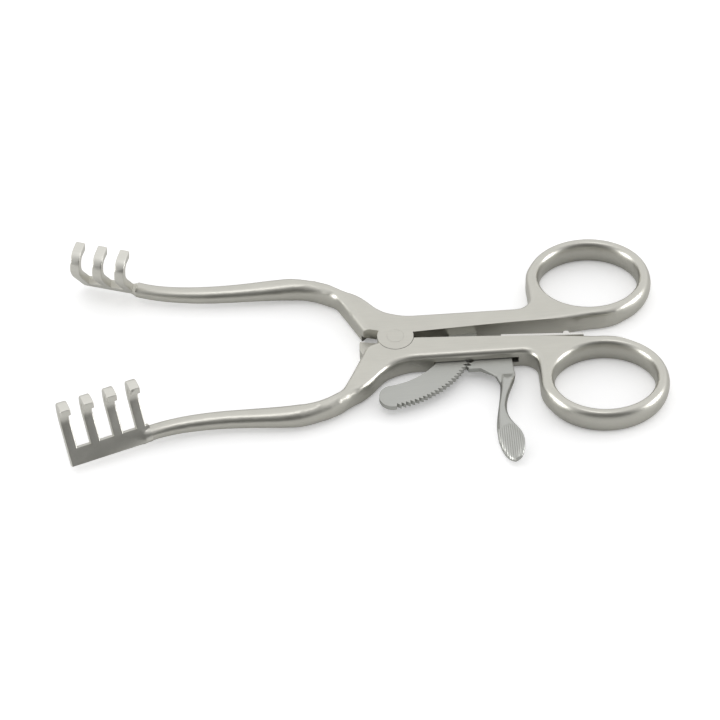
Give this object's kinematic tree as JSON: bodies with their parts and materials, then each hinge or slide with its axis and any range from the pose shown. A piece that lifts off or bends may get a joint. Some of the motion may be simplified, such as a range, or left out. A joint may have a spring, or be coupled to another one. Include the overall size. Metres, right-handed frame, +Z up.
{
  "type": "self retaining retractor",
  "caption": "Hinged surgical retractor with finger rings, outward hooked prong blades, a toothed ratchet bar and a sprung thumb release lever.",
  "frame": {"origin": "on the rivet's axis, on the ground underside that the instrument rests on", "axes": "+X along the instrument towards the finger rings, +Y to the arm that carries the ratchet bar, +Z up along the rivet"},
  "size_m": [0.1393, 0.0664, 0.0168],
  "materials": {
    "satin_steel": "satin",
    "blade_steel": "satin",
    "pin_steel": "satin, ground flush",
    "spring_steel": "polished"
  },
  "bodies": {
    "near_arm": {"near_arm": "satin_steel", "near_prong_blade": "blade_steel", "pivot_rivet": "pin_steel", "lever_pin": "pin_steel", "leaf_spring": "spring_steel", "spring_screw": "spring_steel", "spring_steady_pin": "spring_steel"},
    "far_arm": {"far_arm": "satin_steel", "far_prong_blade": "blade_steel", "ratchet_bar": "satin_steel", "ratchet_pins": "pin_steel"},
    "release_lever": {"release_lever": "satin_steel"}
  },
  "joints": [
    {"name": "rivet_hinge", "type": "hinge", "parent": "near_arm", "child": "far_arm", "pos_m": [0, 0, 0.00315], "axis": [0, 0, 1], "range_deg": [-3.5, 34.4]},
    {"name": "lever_hinge", "type": "hinge", "parent": "near_arm", "child": "release_lever", "pos_m": [0.0207, -0.0047, 0.00315], "axis": [0, 0, 1], "range_deg": [-3.5, 8], "stiffness_Nm_per_rad": 0.03}
  ]
}
